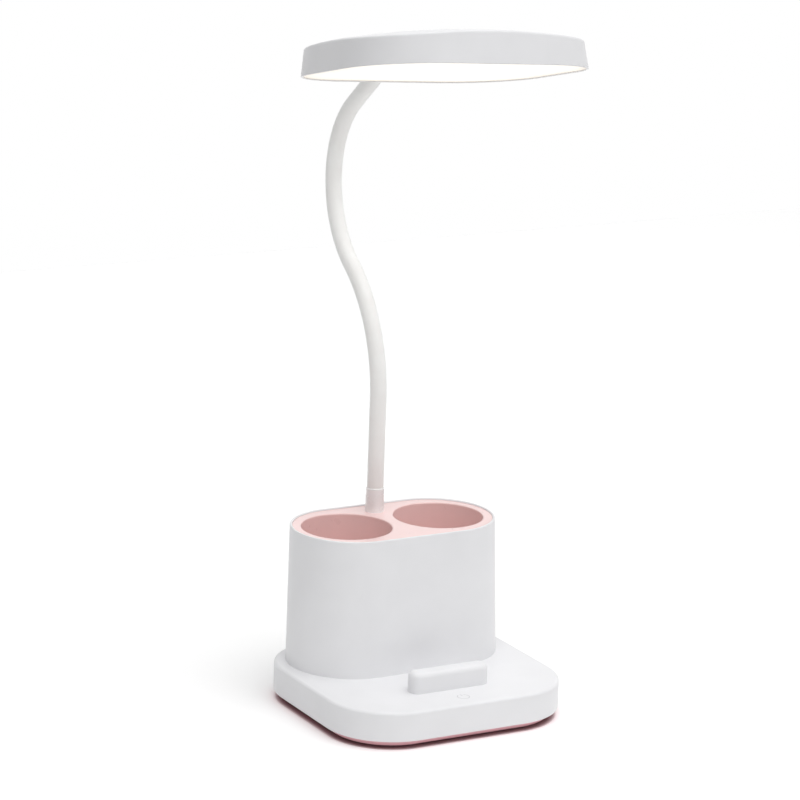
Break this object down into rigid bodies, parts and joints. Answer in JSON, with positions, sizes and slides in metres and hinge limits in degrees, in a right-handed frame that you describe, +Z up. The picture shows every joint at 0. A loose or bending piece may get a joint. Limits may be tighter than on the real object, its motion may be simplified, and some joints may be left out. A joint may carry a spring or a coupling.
{
  "type": "desk lamp",
  "caption": "Small desk lamp on a rounded-square base: a lit square head on a flexible gooseneck, a pen cup with round wells and a slot that holds a phone upright.",
  "frame": {"origin": "middle of the base's footprint, on the desk", "axes": "+Z up, -Y towards the user (the phone slot and the head's front edge), +X to the user's right when facing the lamp's front"},
  "size_m": [0.1789, 0.2364, 0.4923],
  "materials": {
    "white_shell": "satin white",
    "pink_trim": "satin pale pink",
    "neck_sleeve": "smooth soft white sleeve",
    "collar_plastic": "satin white",
    "diffuser": "opal, lit from behind",
    "grip_rubber": "matt",
    "core_steel": "wound steel",
    "cable": "insulated",
    "screw_steel": "plated",
    "weight_steel": "rolled",
    "cell": "wrapped in film",
    "cradle_plastic": "matt",
    "contact_metal": "plated spring sheet",
    "board": "lacquered board",
    "inlet_steel": "drawn steel",
    "led": "phosphor",
    "reflector": "white film"
  },
  "bodies": {
    "base": {"base_shell": "white_shell", "bottom_cover": "pink_trim", "cover_screws": "screw_steel", "grip_pad": "grip_rubber", "counterweight": "weight_steel", "battery_cell": "cell", "battery_cradle": "cradle_plastic", "battery_contacts": "contact_metal", "control_board": "board", "touch_electrode": "contact_metal", "inlet_board": "board", "charging_inlet": "inlet_steel", "phone_stop": "white_shell", "cup_shell": "white_shell", "cup_liner": "pink_trim", "cup_screws": "screw_steel", "neck_collar": "collar_plastic", "neck_nut": "screw_steel", "neck_core_0": "core_steel", "neck_cable_0": "cable", "neck_sleeve_1": "neck_sleeve"},
    "neck_link_1": {"neck_core_1": "core_steel", "neck_cable_1": "cable", "neck_sleeve_2": "neck_sleeve"},
    "neck_link_2": {"neck_core_2": "core_steel", "neck_cable_2": "cable", "neck_sleeve_3": "neck_sleeve"},
    "neck_link_3": {"neck_core_3": "core_steel", "neck_cable_3": "cable", "neck_sleeve_4": "neck_sleeve"},
    "neck_link_4": {"neck_core_4": "core_steel", "neck_cable_4": "cable", "neck_sleeve_5": "neck_sleeve"},
    "neck_link_5": {"neck_core_5": "core_steel", "neck_cable_5": "cable", "neck_sleeve_6": "neck_sleeve"},
    "neck_link_6": {"neck_core_6": "core_steel", "neck_cable_6": "cable", "neck_sleeve_7": "neck_sleeve"},
    "neck_link_7": {"neck_core_7": "core_steel", "neck_cable_7": "cable", "neck_sleeve_8": "neck_sleeve"},
    "head": {"neck_core_8": "core_steel", "neck_cable_8": "cable", "head_collar": "collar_plastic", "neck_socket": "cradle_plastic", "head_nut": "screw_steel", "head_shell": "white_shell", "diffuser": "diffuser", "led_board": "board", "led_chips": "led", "reflector_sheet": "reflector", "head_screws": "screw_steel"}
  },
  "joints": [
    {"name": "neck_nod_1", "type": "hinge", "parent": "base", "child": "neck_link_1", "pos_m": [0, 0.068, 0.154], "axis": [1, 0, 0], "range_deg": [-25, 20], "deforming": ["neck_sleeve_1"]},
    {"name": "neck_lean_2", "type": "hinge", "parent": "neck_link_1", "child": "neck_link_2", "pos_m": [0, 0.068, 0.2014], "axis": [0, 1, 0], "range_deg": [-25, 25], "deforming": ["neck_sleeve_2"]},
    {"name": "neck_nod_3", "type": "hinge", "parent": "neck_link_2", "child": "neck_link_3", "pos_m": [0, 0.07587, 0.24778], "axis": [1, 0, 0], "range_deg": [-25, 20], "deforming": ["neck_sleeve_3"]},
    {"name": "neck_lean_4", "type": "hinge", "parent": "neck_link_3", "child": "neck_link_4", "pos_m": [0, 0.10271, 0.28639], "axis": [0, 0.6756, -0.7373], "range_deg": [-25, 25], "deforming": ["neck_sleeve_4"]},
    {"name": "neck_nod_5", "type": "hinge", "parent": "neck_link_4", "child": "neck_link_5", "pos_m": [0, 0.13569, 0.31982], "axis": [1, 0, 0], "range_deg": [-25, 15], "deforming": ["neck_sleeve_5"]},
    {"name": "neck_lean_6", "type": "hinge", "parent": "neck_link_5", "child": "neck_link_6", "pos_m": [0, 0.14368, 0.36569], "axis": [0, 0.9881, 0.1539], "range_deg": [-25, 25], "deforming": ["neck_sleeve_6"]},
    {"name": "neck_nod_7", "type": "hinge", "parent": "neck_link_6", "child": "neck_link_7", "pos_m": [0, 0.12212, 0.40696], "axis": [1, 0, 0], "range_deg": [-25, 15], "deforming": ["neck_sleeve_7"]},
    {"name": "neck_lean_8", "type": "hinge", "parent": "neck_link_7", "child": "head", "pos_m": [0, 0.08522, 0.4367], "axis": [0, 0.6225, 0.7826], "range_deg": [-25, 25], "deforming": ["neck_sleeve_8"]}
  ]
}
